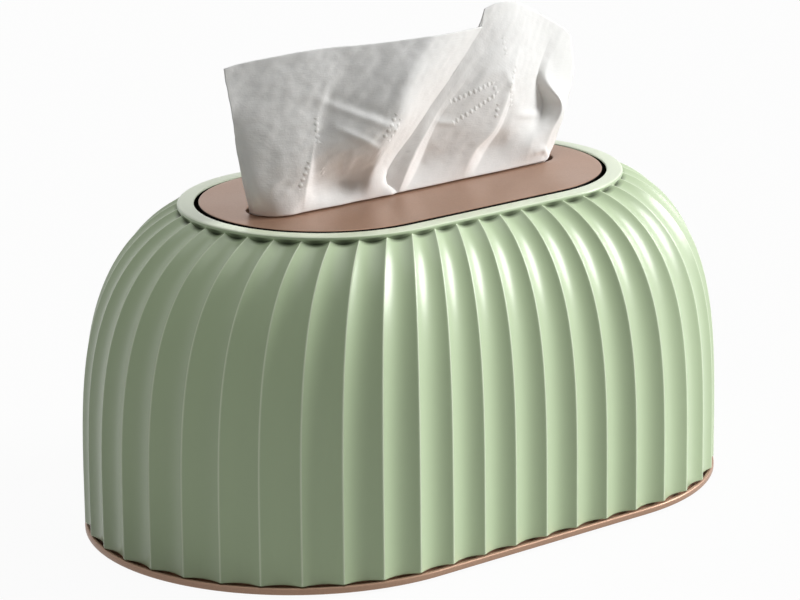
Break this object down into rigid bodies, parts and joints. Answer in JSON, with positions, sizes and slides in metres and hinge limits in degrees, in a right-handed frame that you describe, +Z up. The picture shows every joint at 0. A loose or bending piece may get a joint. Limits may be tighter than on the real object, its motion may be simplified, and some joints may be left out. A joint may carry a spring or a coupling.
{
  "type": "tissue box",
  "caption": "Domed tissue box with a fluted cover, a slotted lid plate let into its rim, a flat base plate and a drawn sheet of tissue.",
  "frame": {"origin": "on the surface the box stands on, under the middle of the box", "axes": "+X along the long side, +Z up, front long side towards -Y"},
  "size_m": [0.235, 0.145, 0.168],
  "materials": {
    "green_cover": "satin sage-green ABS",
    "copper_lid": "satin rose-copper lacquer",
    "copper_base": "ABS sprayed satin rose-copper",
    "grey_pad": "matte silicone",
    "tissue": "soft two-ply facial tissue"
  },
  "bodies": {
    "base": {"base_plate": "copper_base", "foot_pad_front_left": "grey_pad", "foot_pad_front_right": "grey_pad", "foot_pad_rear_left": "grey_pad", "foot_pad_rear_right": "grey_pad", "tissue_pack": "tissue"},
    "cover": {"cover_shell": "green_cover", "lid_plate": "copper_lid"},
    "sheet": {"drawn_sheet": "tissue"}
  },
  "joints": [
    {"name": "cover_lift", "type": "slide", "parent": "base", "child": "cover", "axis": [0, 0, 1], "range_m": [0, 0.09]},
    {"name": "sheet_draw", "type": "slide", "parent": "cover", "child": "sheet", "axis": [0, 0, 1], "range_m": [0, 0.046]}
  ]
}
